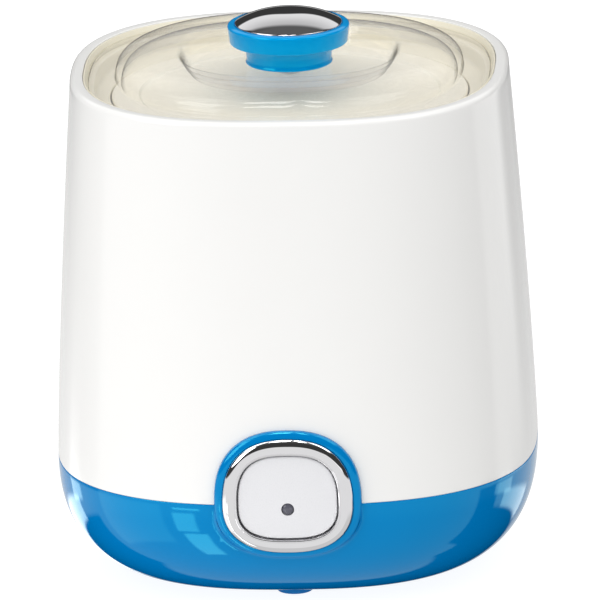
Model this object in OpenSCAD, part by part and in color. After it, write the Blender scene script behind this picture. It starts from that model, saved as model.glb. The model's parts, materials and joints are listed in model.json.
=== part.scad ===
// Bulk yogurt maker: a rounded-square warmer with a lift-out jar, a clear lid and a push button.
// Millimetres, +Z up, front at -Y, origin on the table under the middle of the body.

/* [Body] */
// Width of the body at the colour seam
body_w = 190; // [186:1:196]
// Height of the white rim above the table
rim_z = 199.5; // [197:0.5:202]
// Height of the seam between the blue base and the white shell
seam_z = 46.5; // [45:0.5:48]
// How far each side leans in between the seam and the rim
side_taper = 8.6; // [6:0.1:9]
// Squareness of the plan outline: 2 is a circle, larger is squarer
corner_n = 2.58; // [2.4:0.02:3]
// Wall thickness of the white shell
shell_t = 2.8; // [2:0.1:3]
// Height of the feet under the base
foot_h = 2.5; // [2:0.1:3]

/* [Lid] */
// Width of the flat rim of the clear lid
lid_flange_w = 10.6; // [9:0.1:12]
// Height of the lid's dome above its flat rim
dome_h = 9.6; // [8:0.1:11]
// Half width of the recess that the knob stands in
recess_half = 43; // [38:0.5:46]
// Thickness of the clear plastic
lid_t = 2.3; // [2:0.1:2.5]

/* [Knob] */
// Radius of the knob's neck
neck_r = 17.5; // [15:0.5:19]
// Radius of the knob's ring at its top edge
knob_r = 24.2; // [23:0.1:26]
// Rise of the bright cap's dome
cap_rise = 5.2; // [3:0.1:6]

/* [Button] */
// Half width of the raised blue surround
surround_half = 29; // [28:0.5:30]
// Half width of the bright bezel
bezel_half = 25.7; // [25:0.1:26]
// Half width of the button face
button_half = 19.4; // [19:0.1:20]
// Travel of the button
button_travel = 1.5; // [1:0.1:1.5]

/* [Jar] */
// Outer radius of the jar
jar_r = 64; // [60:0.5:65]
// Wall thickness of the jar
jar_t = 2.4; // [2:0.1:3]
// Inner radius of the warming well
well_r = 71; // [70:0.5:72]

/* [Inlet] */
// Radius of the hole that the mains cord passes through
cord_hole_r = 3.6; // [3:0.1:4]

/* [Hidden] */

$fn = 64;
sides = 64;                       // points round each lofted ring
white = "#f6f5f3";
blue = "#0292d8";
cream = "#e6e0cc";
chrome = "#c9cbd0";
steel = "#b9bcc0";
copper_green = "#1f6b3f";

half = body_w / 2;
gap = 0.2;                        // play between pieces that fit together

// base
base_z = foot_h;                  // underside of the base
foot_half = 58;                   // half width of the flat underside
base_round = 2.35;                // fullness of the curve between underside and seam
plate_t = 2.2;                    // base plate
ledge_z = base_z + plate_t + gap; // ledge above the plate that the screws pull against
ledge_t = 2;
ledge_in = 49;
floor_half = 66;                  // half width of the flat floor inside
lip_h = 5;                        // locating lip inside the white shell
lip_out = half - shell_t - 2 * gap;
lip_in = lip_out - 1.8;
post_at = 40.9;                   // screw posts stand at (+-post_at, +-post_at)
post_r = 4.2;
post_top = 30;
foot_at = 54.4;                     // feet stand front, back, left and right
foot_r = 7.2;
foot_peg_r = 2;

// rim
rim_round = 3.2;
rim_in = half - side_taper - 5;   // inside of the rolled rim
shelf_z = rim_z - 6.5;            // shelf inside the shell that carries the liner
shelf_half = rim_in - 1.4;
seat_z = shelf_z + 2;             // seat of the lid on the liner
seat_out = rim_in - 1.8;          // edge of the lid's seat
seat_in = seat_out - 2.6;
tray_z = seat_z - 6;              // flat around the mouth of the well

// well and heater
well_t = 2.2;
well_floor = 38;                  // top of the liner's floor ring
floor_hole_r = 50;
gasket_t = 0.8;
heater_z = well_floor + gasket_t;
heater_t = 1.6;
heater_r = 60;
element_r = 46;
element_t = 1.4;
mica_t = 0.8;
sensor_top = heater_z - element_t - mica_t;
sensor_h = 5.2;
clip_z = sensor_top - sensor_h;
stud_r = 2.5;

// button group, all on a plane that faces the front
group_z = 47.7;                   // height of the widest line
surround_up = 29.2;
surround_down = 22.5;
surround_y = -97;
surround_back = -88;
bezel_up = 26.3;
bezel_down = 19.8;
bezel_y = -98.8;
pocket_y = -92;                   // floor of the pocket that holds the bezel
button_up = button_half;
button_down = 13.9;
button_y = -97.8;
button_back = -90;
outer_n = 2.4;                    // squareness of the surround and the bezel
inner_n = 2.8;                    // squareness of the button
lens_z = 45.7;
stem_z = 57;
board_y = -83.6;                  // front of the small board behind the button
board_t = 1.6;
switch_y = -88;                   // front of the push switch
bracket_x = 25.2;                 // screws of that board stand at +-bracket_x

// inlet at the back
inlet_z = 24;
inlet_in = 76;
inlet_pad = 80;                   // inner face of the pad that the gland clamps
inlet_face = 94.5;
inlet_out = -bezel_y;

// main board
pcb_z = 12;
pcb_x = 28;
pcb_y = [-30, 6];

// jar
jar_z = heater_z + heater_t + gap;
jar_neck_z = 172;
jar_top = 185;
jar_neck_r = jar_r - 1.6;
cap_z = 174;
cap_top = 189.5;
cap_in = jar_neck_r + 0.4;
cap_r = jar_r + 2.8;
brim_r = well_r - 0.6;            // the cap's brim all but fills the mouth of the well

// lid and knob
flange_z = seat_z + gap;
flange_top = flange_z + lid_t;
lid_half = seat_out - 0.3;
dome_half = lid_half - lid_flange_w;
dome_top = flange_top + dome_h;
recess_z = dome_top - 6;          // top of the recess floor
knob_z = recess_z + gap;
ring_z = knob_z + 8.2;
knob_top = ring_z + 8.4;
cap_seat = knob_top - 1.1;
knob_cap_r = knob_r - 2.9;

// ---- outlines ----

// radius of the rounded-square outline of unit half width, at an angle
function unit_r(n, a) = 1 / pow(pow(abs(cos(a)), n) + pow(abs(sin(a)), n), 1 / n);

// one ring of the body, of a half width, a squareness and a height
function ring(h, n, z) =
    [for (i = [0 : sides - 1]) let (a = 360 * i / sides, r = h * unit_r(n, a)) [r * cos(a), r * sin(a), z]];

// the same outline, flat
function outline(h, n) = [for (p = ring(h, n, 0)) [p[0], p[1]]];

function signed_pow(v, e) = sign(v) * pow(abs(v), e);

// egg-shaped outline with its widest line at zero: up and down are its heights above and below
function egg(h, up, down, n) =
    [for (i = [0 : sides - 1]) let (a = 360 * i / sides)
        [h * signed_pow(cos(a), 2 / n), (a < 180 ? up : down) * signed_pow(sin(a), 2 / n)]];

// half width of the white shell at a height
function shell_half(z) = half - side_taper * pow((z - seam_z) / (rim_z - seam_z), 1.27);

// bowl from a flat of half width h0 at z0 up to h1 at z1
function bowl(h0, h1, z0, z1, z) = h0 + (h1 - h0) * sqrt(max(0, 1 - pow((z1 - z) / (z1 - z0), base_round)));

// heights that crowd towards the bottom, where the bowl curves most
function bowl_heights(z0, z1, steps) = [for (i = [0 : steps]) z0 + (z1 - z0) * pow(i / steps, 2)];

// ---- builders ----

// skin over a list of rings; closed joins the last ring back to the first, otherwise both ends are capped
module loft(rings, closed = false) {
    count = len(rings);
    last = closed ? count - 1 : count - 2;
    bands = [for (i = [0 : last]) for (j = [0 : sides - 1])
        let (a = i * sides, b = ((i + 1) % count) * sides, k = (j + 1) % sides)
        each [[a + j, b + j, b + k], [a + j, b + k, a + k]]];
    caps = closed ? [] : [
        [for (j = [0 : sides - 1]) j],
        [for (j = [sides - 1 : -1 : 0]) (count - 1) * sides + j]
    ];
    polyhedron([for (r = rings) each r], concat(bands, caps));
}

// egg-shaped block between two planes that face the front
module front_egg(h, up, down, n, y_front, y_back) {
    translate([0, y_back, group_z])
        rotate([90, 0, 0])
            linear_extrude(y_back - y_front)
                polygon(egg(h, up, down, n));
}

// cylinder along Y at a height, from the front y to the back y
module along_y(x, z, r, y_front, y_back) {
    translate([x, y_back, z])
        rotate([90, 0, 0])
            cylinder(r = r, h = y_back - y_front);
}

module at_posts() {
    for (x = [-post_at, post_at])
        for (y = [-post_at, post_at])
            translate([x, y, 0])
                children();
}

module at_feet() {
    for (a = [0 : 90 : 270])
        rotate(a)
            translate([foot_at, 0, 0])
                children();
}

function unit(v) = v / norm(v);

// direction of a path at one of its points
function heading(path, i) = unit(path[min(i + 1, len(path) - 1)] - path[max(i - 1, 0)]);

// round tube along a path, with eight sides
module lead(path, r) {
    n = 8;
    aside = [0.9, 0.3, 0.2];
    points = [for (i = [0 : len(path) - 1])
        let (t = heading(path, i), u = unit(cross(t, aside)), v = cross(t, u))
        for (j = [0 : n - 1]) path[i] + r * (cos(360 * j / n) * u + sin(360 * j / n) * v)];
    bands = [for (i = [0 : len(path) - 2]) for (j = [0 : n - 1])
        let (a = i * n, b = a + n, k = (j + 1) % n)
        each [[a + j, b + j, b + k], [a + j, b + k, a + k]]];
    ends = [
        [for (j = [0 : n - 1]) j],
        [for (j = [n - 1 : -1 : 0]) (len(path) - 1) * n + j]
    ];
    polyhedron(points, concat(bands, ends));
}

// ---- casing ----

module outer_shell() {
    outside = [for (i = [0 : 6]) let (z = seam_z + (rim_z - rim_round - seam_z) * i / 6)
        ring(shell_half(z), corner_n, z)];
    corner = shell_half(rim_z - rim_round) - rim_round;
    rounded = [for (a = [22.5 : 22.5 : 90])
        ring(corner + rim_round * cos(a), corner_n, rim_z - rim_round + rim_round * sin(a))];
    shelf = [
        ring(rim_in, corner_n, rim_z),
        ring(rim_in, corner_n, shelf_z),
        ring(shelf_half, corner_n, shelf_z),
        ring(shelf_half, corner_n, shelf_z - 2.5)
    ];
    inside = [for (z = [shelf_z - 8, 150, 100, seam_z]) ring(shell_half(z) - shell_t, corner_n, z)];
    color(white)
        difference() {
            loft(concat(outside, rounded, shelf, inside), closed = true);
            front_egg(surround_half + gap, surround_up + gap, surround_down + gap, outer_n, -110, -80);
        }
}

module base_shell() {
    outside = [for (z = bowl_heights(base_z, seam_z, 10))
        ring(bowl(foot_half, half, base_z, seam_z, z), corner_n, z)];
    lip = [
        ring(lip_out, corner_n, seam_z),
        ring(lip_out, corner_n, seam_z + lip_h),
        ring(lip_in, corner_n, seam_z + lip_h)
    ];
    floor_z = ledge_z + ledge_t;
    heights = bowl_heights(floor_z, seam_z, 6);
    inside = [for (i = [6 : -1 : 0])
        ring(bowl(floor_half, lip_in, floor_z, seam_z, heights[i]), corner_n, heights[i])];
    ledge = [
        ring(ledge_in, corner_n, floor_z),
        ring(ledge_in, corner_n, ledge_z),
        ring(foot_half, corner_n, ledge_z)
    ];
    color(blue)
        difference() {
            union() {
                loft(concat(outside, lip, inside, ledge), closed = true);
                front_egg(surround_half, surround_up, surround_down, outer_n, surround_y, surround_back);
                for (x = [-bracket_x, bracket_x])
                    along_y(x, group_z, 2.6, surround_back - 1, board_y);
                along_y(0, inlet_z, 10, inlet_pad, inlet_face);
                at_posts()
                    translate([0, 0, ledge_z + 0.5])
                        cylinder(r = post_r, h = post_top - ledge_z - 0.5);
            }
            front_egg(bezel_half + 0.1, bezel_up + 0.1, bezel_down + 0.1, outer_n, -110, pocket_y);
            front_egg(button_half + 1.7, button_up + 1.7, button_down + 1.7, inner_n, -110, -80);
            for (x = [-bracket_x, bracket_x])
                along_y(x, group_z, 1.15, -87.4, -80);
            along_y(0, inlet_z, 6.05, inlet_pad - 4, 110);
            at_posts()
                translate([0, 0, ledge_z - 1])
                    cylinder(r = 2, h = post_top);
        }
}

module well_liner() {
    collar = [
        ring(seat_in + 0.8, corner_n, tray_z - 2),
        ring(shelf_half - gap, corner_n, shelf_z),
        ring(rim_in - gap, corner_n, shelf_z),
        ring(rim_in - gap, corner_n, rim_z - 0.6),
        ring(rim_in - gap - 0.3, corner_n, rim_z - 0.3),
        ring(seat_out, corner_n, rim_z - 2),
        ring(seat_out, corner_n, seat_z),
        ring(seat_in, corner_n, seat_z),
        ring(seat_in - 0.6, corner_n, tray_z),
        ring(well_r + 1, 2, tray_z),
        ring(well_r + 1, 2, tray_z - 2)
    ];
    color(cream)
        difference() {
            union() {
                loft(collar, closed = true);
                rotate_extrude()
                    polygon([
                        [floor_hole_r, well_floor - 2], [well_r + well_t - 3, well_floor - 2],
                        [well_r + well_t, well_floor + 1], [well_r + well_t, tray_z],
                        [well_r, tray_z], [well_r, well_floor + 1.6], [well_r - 1.6, well_floor],
                        [floor_hole_r, well_floor]
                    ]);
                at_posts()
                    translate([0, 0, post_top + gap])
                        cylinder(r = post_r, h = well_floor - 1 - post_top - gap);
            }
            at_posts()
                translate([0, 0, post_top])
                    cylinder(r = 1.55, h = 5.5);
        }
}

module base_plate() {
    color(blue)
        difference() {
            union() {
                translate([0, 0, base_z])
                    linear_extrude(plate_t)
                        polygon(outline(foot_half - gap, corner_n));
                for (x = [-pcb_x, pcb_x])
                    for (y = pcb_y)
                        translate([x, y, base_z + 1])
                            cylinder(r = 3, h = pcb_z - base_z - 1);
            }
            for (x = [-pcb_x, pcb_x])
                for (y = pcb_y)
                    translate([x, y, 6])
                        cylinder(r = 1.25, h = 10);
            at_posts() {
                cylinder(r = 2, h = 10);
                cylinder(r = 4, h = base_z + 1.1);
            }
            at_feet()
                cylinder(r = foot_peg_r, h = 10);
            for (x = [-12 : 6 : 12])
                translate([x - 1.25, 14, 0])
                    cube([2.5, 22, 10]);
        }
}

module feet() {
    color(blue)
        at_feet()
            rotate_extrude()
                polygon([
                    [0, 0], [foot_r - 0.9, 0], [foot_r - 0.3, 0.25], [foot_r, 0.8], [foot_r, base_z],
                    [foot_peg_r - 0.05, base_z], [foot_peg_r - 0.05, base_z + plate_t], [0, base_z + plate_t]
                ]);
}

module base_screws() {
    color(steel)
        at_posts() {
            difference() {
                translate([0, 0, base_z])
                    cylinder(r = 3.8, h = 1);
                translate([-2.8, -0.45, base_z - 1])
                    cube([5.6, 0.9, 1.6]);
                translate([-0.45, -2.8, base_z - 1])
                    cube([0.9, 5.6, 1.6]);
            }
            translate([0, 0, base_z + 0.9])
                cylinder(r = 1.5, h = 31);
        }
}

module cord_gland() {
    tip = inlet_out - inlet_in;
    face = inlet_face - inlet_in;
    color("dimgray")
        translate([0, inlet_in, inlet_z])
            rotate([-90, 0, 0])
                rotate_extrude()
                    polygon([
                        [cord_hole_r, 0], [6, 0], [6, face], [9, face], [9, face + 1.6],
                        [6.2, tip], [cord_hole_r, tip]
                    ]);
}

module gland_nut() {
    color("dimgray")
        difference() {
            along_y(0, inlet_z, 9, inlet_in + 0.5, inlet_pad - 0.1);
            along_y(0, inlet_z, 6.05, inlet_in - 1, inlet_pad + 1);
        }
}

// ---- heater ----

module heater_gasket() {
    color("darkred")
        translate([0, 0, well_floor])
            difference() {
                cylinder(r = heater_r - 0.5, h = gasket_t);
                translate([0, 0, -1])
                    cylinder(r = floor_hole_r + 2, h = 3);
            }
}

module heater_plate() {
    color("silver") {
        translate([0, 0, heater_z])
            cylinder(r = heater_r, h = heater_t);
        translate([0, 0, clip_z - 5])
            cylinder(r = stud_r, h = heater_z - clip_z + 5.5);
    }
}

module pierced_disc(r, t) {
    difference() {
        cylinder(r = r, h = t);
        translate([0, 0, -1])
            cylinder(r = stud_r + 0.3, h = t + 2);
    }
}

module heating_element() {
    color("orange")
        translate([0, 0, heater_z - element_t])
            pierced_disc(element_r, element_t);
}

module insulation_disc() {
    color("wheat")
        translate([0, 0, sensor_top])
            pierced_disc(element_r + 2, mica_t);
}

module thermostat() {
    color("gainsboro")
        translate([22, 0, clip_z]) {
            cylinder(r = 8, h = sensor_h);
            for (y = [-10.5, 6.5])
                translate([-3, y, 1.5])
                    cube([6, 4, 0.8]);
        }
}

module thermal_fuse() {
    color("ivory")
        translate([-14, 0, sensor_top - 2.6])
            rotate([0, -90, 0])
                cylinder(r = 2.6, h = 16);
}

module sensor_clip() {
    color(steel)
        difference() {
            translate([-32, -4, clip_z - 1.2])
                cube([62, 8, 1.2]);
            translate([0, 0, clip_z - 3])
                cylinder(r = stud_r + 0.3, h = 5);
        }
}

module clip_nut() {
    color(steel)
        translate([0, 0, clip_z - 4.4])
            difference() {
                cylinder(r = 4.6, h = 3.2, $fn = 6);
                translate([0, 0, -1])
                    cylinder(r = stud_r + 0.05, h = 6);
            }
}

// ---- electrics ----

module circuit_board() {
    color(copper_green)
        difference() {
            translate([-pcb_x - 5, pcb_y[0] - 5, pcb_z])
                cube([2 * pcb_x + 10, pcb_y[1] - pcb_y[0] + 10, board_t]);
            for (x = [-pcb_x, pcb_x])
                for (y = pcb_y)
                    translate([x, y, pcb_z - 1])
                        cylinder(r = 1.5, h = 4);
        }
}

module board_screws() {
    color(steel)
        for (x = [-pcb_x, pcb_x])
            for (y = pcb_y)
                translate([x, y, 0]) {
                    translate([0, 0, pcb_z + board_t])
                        cylinder(r = 2.7, h = 1.7);
                    translate([0, 0, 6.5])
                        cylinder(r = 1.2, h = pcb_z + board_t - 6);
                }
}

module relay() {
    color("royalblue")
        translate([-20, -26, pcb_z + board_t])
            cube([16, 20, 14]);
}

module capacitor() {
    color("black")
        translate([8, -8, pcb_z + board_t])
            cylinder(r = 5, h = 13);
}

module controller_chip() {
    color("darkslategray")
        translate([4, -26, pcb_z + board_t])
            cube([10, 8, 2.2]);
}

module terminal_block() {
    color("ivory")
        difference() {
            translate([-14, 17.5, pcb_z + board_t - 8.9])
                cube([28, 12, 10]);
            for (x = [-9, 0, 9])
                translate([x, 23.5, pcb_z])
                    cylinder(r = 2.6, h = 10);
        }
}

module terminal_screws() {
    color(steel)
        for (x = [-9, 0, 9])
            translate([x, 23.5, pcb_z])
                cylinder(r = 2.5, h = 1.6);
}

module heater_leads() {
    top = pcb_z + board_t + 1.3;
    color("firebrick") {
        lead([[-9, 30.8, top - 4], [-9, 34, top - 1], [-14, 35, top + 6], [-24, 26, top + 13],
            [-33, 12, 31], [-34, 4, 32.6], [-33.5, 0, 33.4]], 1);
        lead([[9, 30.8, top - 4], [9, 34, top - 1], [14, 35, top + 6], [21, 26, top + 12],
            [22.5, 17, 30], [22, 12, 32]], 1);
    }
}

module switch_leads() {
    color("gold")
        for (x = [14, 18])
            lead([[x, -35.6, 13], [x, -40, 14], [x, -50, 19], [x, -64, 25], [x, -77, 31],
                [x, -79.5, 38], [x, -79.8, 42], [x, -81.2, 44.5]], 0.8);
}

module switch_board() {
    color(copper_green)
        difference() {
            translate([-28, board_y, 40])
                cube([56, board_t, 24]);
            for (x = [-bracket_x, bracket_x])
                along_y(x, group_z, 1.4, board_y - 1, board_y + 3);
        }
}

module switch_screws() {
    color(steel)
        for (x = [-bracket_x, bracket_x]) {
            along_y(x, group_z, 2.4, board_y + board_t, board_y + board_t + 1.5);
            along_y(x, group_z, 1.1, board_y - 3.4, board_y + board_t + 0.5);
        }
}

module push_switch() {
    color("darkslategray")
        difference() {
            translate([-6, switch_y, stem_z - 5.5])
                cube([12, board_y - switch_y, 11]);
            along_y(0, stem_z, 1.8, switch_y - 1, switch_y + 3);
        }
}

module status_led() {
    color("lightgreen") {
        along_y(0, lens_z, 2.5, -86.3, board_y);
        along_y(0, lens_z, 2.9, board_y - 1, board_y);
    }
}

module button_spring() {
    color(steel)
        difference() {
            along_y(0, stem_z, 4.4, -95.5, switch_y - 0.1);
            along_y(0, stem_z, 3.7, -97, switch_y + 1);
        }
}

// ---- button ----

module bezel_ring() {
    color(chrome)
        difference() {
            union() {
                front_egg(bezel_half, bezel_up, bezel_down, outer_n, bezel_y + 1.2, pocket_y - 0.1);
                front_egg(bezel_half - 1.4, bezel_up - 1.4, bezel_down - 1.4, outer_n, bezel_y, pocket_y - 1);
            }
            front_egg(button_half + 0.65, button_up + 0.65, button_down + 0.65, inner_n, -110, -80);
        }
}

module button_face() {
    color("#eaeaec")
        difference() {
            union() {
                front_egg(button_half, button_up, button_down, inner_n, button_y, button_back);
                front_egg(button_half + 1.2, button_up + 1.2, button_down + 1.2, inner_n,
                    button_back - 1.6, button_back);
            }
            front_egg(button_half - 2.2, button_up - 2.2, button_down - 2.2, inner_n, button_y + 2.2, -80);
            along_y(0, lens_z, 2.55, -110, -80);
        }
}

module indicator_lens() {
    color("dimgray")
        along_y(0, lens_z, 2.5, button_y - 0.2, button_y + 2.2);
}

module light_pipe() {
    color("azure")
        along_y(0, lens_z, 2.2, button_y + 2.2, -88.2);
}

module button_stem() {
    color("whitesmoke") {
        along_y(0, stem_z, 3, button_y + 2.2, switch_y - button_travel - 0.2);
        along_y(0, stem_z, 1.7, button_y + 3, switch_y + 1.2);
    }
}

// ---- jar ----

module jar() {
    color("#f0ede4")
        rotate_extrude()
            polygon([
                [0, jar_z], [jar_r - 6, jar_z], [jar_r - 1.8, jar_z + 1.8], [jar_r, jar_z + 6],
                [jar_r, jar_neck_z - 2], [jar_neck_r, jar_neck_z], [jar_neck_r, jar_top],
                [jar_neck_r - jar_t, jar_top], [jar_neck_r - jar_t, jar_neck_z - 1],
                [jar_r - jar_t, jar_neck_z - 3], [jar_r - jar_t, jar_z + 7],
                [jar_r - jar_t - 1.4, jar_z + 4], [jar_r - jar_t - 4.4, jar_z + jar_t],
                [0, jar_z + jar_t]
            ]);
}

module jar_cap() {
    color("#efebdf")
        difference() {
            union() {
                translate([0, 0, cap_z])
                    cylinder(r = cap_r, h = cap_top - 1.6 - cap_z);
                translate([0, 0, cap_top - 2.2])
                    cylinder(r = brim_r, h = 1.4);
                translate([0, 0, cap_top - 0.9])
                    cylinder(r1 = brim_r, r2 = brim_r - 0.9, h = 0.9);
                for (a = [0 : 12 : 348])
                    rotate(a)
                        translate([cap_r, 0, cap_z + 1.5])
                            cylinder(r = 1, h = cap_top - 4 - cap_z);
            }
            translate([0, 0, cap_z - 1])
                cylinder(r = cap_in, h = jar_top + 2 - cap_z + 1);
            translate([0, 0, cap_top - 0.8])
                cylinder(r = cap_r - 8, h = 2);
        }
}

module cap_seal() {
    color("lightgray")
        translate([0, 0, jar_top + gap])
            difference() {
                cylinder(r = jar_neck_r, h = 1.7);
                translate([0, 0, -1])
                    cylinder(r = jar_neck_r - 4, h = 4);
            }
}

// ---- lid ----

// rings of the dome's skin between the recess and the flat rim, from share 0 at the recess to 1 at the rim
function dome_skin(shares, r_in, r_out, z_in, z_out) =
    [for (u = shares)
        ring(r_in + (r_out - r_in) * u, 2.4 - 0.05 * u, z_out + (z_in - z_out) * pow(1 - pow(u, 2.6), 1 / 2.6))];

module lid() {
    n_recess = 2.4;
    under = concat(
        [
            ring(recess_half - 4.5, n_recess, recess_z - lid_t),
            ring(recess_half - lid_t + 1, n_recess, recess_z - lid_t + 0.6)
        ],
        dome_skin([0, 0.5, 0.8, 0.95, 1], recess_half + 1, dome_half - lid_t, dome_top - lid_t - 0.2, flange_z)
    );
    rim = [
        ring(lid_half, corner_n, flange_z),
        ring(lid_half, corner_n, flange_top - 0.6),
        ring(lid_half - 0.6, corner_n, flange_top)
    ];
    top = concat(
        [ring(dome_half + 0.8, 2.35, flange_top)],
        dome_skin([1, 0.97, 0.9, 0.8, 0.65, 0.4, 0], recess_half + 0.8, dome_half, dome_top, flange_top + 0.8),
        [
            ring(recess_half - 0.4, n_recess, dome_top - 0.5),
            ring(recess_half - 1.6, n_recess, recess_z + 0.8),
            ring(recess_half - 3, n_recess, recess_z)
        ]
    );
    color("lightyellow", 0.4)
        difference() {
            loft(concat(under, rim, top));
            translate([0, 0, recess_z - lid_t - 1])
                cylinder(r = 2.6, h = 10);
        }
}

module knob() {
    color(blue)
        rotate_extrude()
            polygon([
                [0, knob_top - 3], [2, knob_top - 3], [2, knob_z + 0.7], [8, knob_z + 0.7], [8, knob_z],
                [neck_r - 0.4, knob_z], [neck_r, knob_z + 0.5], [neck_r - 0.2, knob_z + 3.5],
                [neck_r + 0.7, ring_z - 1.4], [neck_r + 1.8, ring_z], [knob_r - 1.1, ring_z],
                [knob_r - 0.8, ring_z + 0.4], [knob_r, knob_top - 1.8], [knob_r - 0.5, knob_top - 0.6],
                [knob_r - 1.5, knob_top],
                [knob_cap_r + 0.2, knob_top], [knob_cap_r + 0.1, cap_seat], [0, cap_seat]
            ]);
}

module knob_cap() {
    rim_top = knob_top - 0.4;
    ball_r = (knob_cap_r * knob_cap_r + cap_rise * cap_rise) / (2 * cap_rise);
    color(chrome)
        intersection() {
            translate([0, 0, cap_seat])
                cylinder(r = knob_cap_r, h = 10);
            translate([0, 0, rim_top + cap_rise - ball_r])
                sphere(r = ball_r, $fn = 128);
        }
}

module knob_screw() {
    head_top = recess_z - lid_t;
    color(steel) {
        difference() {
            translate([0, 0, head_top - 1.8])
                cylinder(r = 4, h = 1.8);
            translate([-2.6, -0.45, head_top - 2.8])
                cube([5.2, 0.9, 1.8]);
            translate([-0.45, -2.6, head_top - 2.8])
                cube([0.9, 5.2, 1.8]);
        }
        translate([0, 0, head_top - 0.1])
            cylinder(r = 1.95, h = knob_top - 4 - head_top);
    }
}

module knob_washer() {
    color("lightgray")
        translate([0, 0, recess_z])
            difference() {
                cylinder(r = 7.8, h = 0.8);
                translate([0, 0, -1])
                    cylinder(r = 2.1, h = 3);
            }
}

outer_shell();
base_shell();
well_liner();
base_plate();
feet();
base_screws();
bezel_ring();
cord_gland();
gland_nut();
heater_gasket();
heater_plate();
heating_element();
insulation_disc();
thermostat();
thermal_fuse();
sensor_clip();
clip_nut();
circuit_board();
board_screws();
relay();
capacitor();
controller_chip();
terminal_block();
terminal_screws();
heater_leads();
switch_leads();
switch_board();
switch_screws();
push_switch();
status_led();
button_spring();
button_face();
indicator_lens();
light_pipe();
button_stem();
jar();
jar_cap();
cap_seal();
lid();
knob();
knob_cap();
knob_screw();
knob_washer();
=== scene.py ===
import json
import math

import bmesh
import bpy
import numpy as np
from mathutils import Matrix, Vector


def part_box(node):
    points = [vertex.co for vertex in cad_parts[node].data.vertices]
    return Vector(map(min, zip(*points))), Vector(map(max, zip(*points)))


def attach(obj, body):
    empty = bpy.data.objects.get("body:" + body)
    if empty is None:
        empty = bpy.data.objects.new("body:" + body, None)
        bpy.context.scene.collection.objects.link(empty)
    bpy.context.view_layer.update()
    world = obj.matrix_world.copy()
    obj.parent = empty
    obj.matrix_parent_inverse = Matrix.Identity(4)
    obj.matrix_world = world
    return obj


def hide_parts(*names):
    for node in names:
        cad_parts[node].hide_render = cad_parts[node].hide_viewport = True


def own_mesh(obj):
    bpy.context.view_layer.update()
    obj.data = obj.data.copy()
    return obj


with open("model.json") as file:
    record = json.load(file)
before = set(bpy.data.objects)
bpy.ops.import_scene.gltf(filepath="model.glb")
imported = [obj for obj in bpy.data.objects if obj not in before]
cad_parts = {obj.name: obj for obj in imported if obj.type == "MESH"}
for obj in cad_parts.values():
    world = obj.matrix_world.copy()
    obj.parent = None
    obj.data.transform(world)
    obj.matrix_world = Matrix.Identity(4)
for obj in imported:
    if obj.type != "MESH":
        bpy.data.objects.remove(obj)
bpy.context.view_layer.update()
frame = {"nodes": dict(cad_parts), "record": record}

MM = 0.001


# ---------------------------------------------------------------- sizes, from the frame

def low(node):
    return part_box(node)[0]


def high(node):
    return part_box(node)[1]


SQUARE = 2.58                       # squareness of the body's outline; 2 is a circle
HALF = high("outer_shell").x        # half width of the body at the seam
SEAM_Z = low("outer_shell").z
RIM_Z = high("outer_shell").z
BASE_Z = low("base_shell").z
SHELL_T = 2.8 * MM                  # wall of shell and base
RIM_IN = high("well_liner").x + 0.2 * MM
SIDE_TAPER = HALF - RIM_IN - 5 * MM
SHELF_Z = RIM_Z - 6.5 * MM
SEAT_Z = SHELF_Z + 2 * MM
TRAY_Z = SEAT_Z - 6 * MM
FLAT_HALF = high("base_plate").x + 0.2 * MM
BOWL_POWER = 2.35                   # how late the bowl turns from flat to upright

FRONT_Y = low("bezel_ring").y       # frontmost plane, that of the bezel
BACK_Y = high("cord_gland").y
CUT_FRONT, CUT_BACK = -120 * MM, -80 * MM       # how far cutters for the button group reach
GROUP_Z = 47.7 * MM                 # height of the widest line of the button group
SURROUND = (29 * MM, 29.2 * MM, 22.5 * MM)      # half width, height above and below that line
BEZEL = (high("bezel_ring").x, high("bezel_ring").z - GROUP_Z, GROUP_Z - low("bezel_ring").z)
BUTTON = (19.4 * MM, 19.4 * MM, 13.9 * MM)
BUTTON_PLAY = 0.65 * MM
OUTER_N = 2.4                       # squareness of surround and bezel
INNER_N = 2.8                       # squareness of button and opening
SURROUND_Y = low("base_shell").y
POCKET_Y = high("bezel_ring").y + 0.1 * MM
SURROUND_BACK = -88 * MM
BUTTON_Y = low("button_face").y

POST_XY = 40.9 * MM                 # where the base's four screw posts stand
POST_R = 4.2 * MM
POST_TOP = 30 * MM
PAD_Y = 94.5 * MM                   # face of the flat pad round the cord's inlet
INLET_Z = low("cord_gland").z + 9 * MM

WELL_R = 71 * MM
WELL_FLOOR = low("heater_gasket").z
LID_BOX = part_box("lid")
JAR_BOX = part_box("jar")
CAP_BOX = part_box("jar_cap")
KNOB_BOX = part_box("knob")
BRIGHT_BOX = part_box("knob_cap")


# ---------------------------------------------------------------- outlines

def superellipse(n, count):
    """Points of unit half width round a rounded square."""
    a = np.linspace(0, 2 * math.pi, count, endpoint=False)
    r = (np.abs(np.cos(a)) ** n + np.abs(np.sin(a)) ** n) ** (-1 / n)
    return np.stack([r * np.cos(a), r * np.sin(a)], 1)


def egg(sizes, n, count, inset=0.0):
    """Egg-shaped outline of the button group, in x and height above its widest line."""
    half, up, down = (s - inset for s in sizes)
    a = np.linspace(0, 2 * math.pi, count, endpoint=False)
    c, s = np.cos(a), np.sin(a)
    x = half * np.sign(c) * np.abs(c) ** (2 / n)
    z = np.where(s > 0, up, down) * np.sign(s) * np.abs(s) ** (2 / n)
    return np.stack([x, z], 1)


def even(points):
    """The same closed outline with its points at equal distances."""
    count = len(points)
    loop = np.vstack([points, points[:1]])
    along = np.concatenate([[0], np.cumsum(np.linalg.norm(np.diff(loop, axis=0), axis=1))])
    at = np.linspace(0, along[-1], count, endpoint=False)
    return np.stack([np.interp(at, along, loop[:, k]) for k in range(2)], 1)


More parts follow.
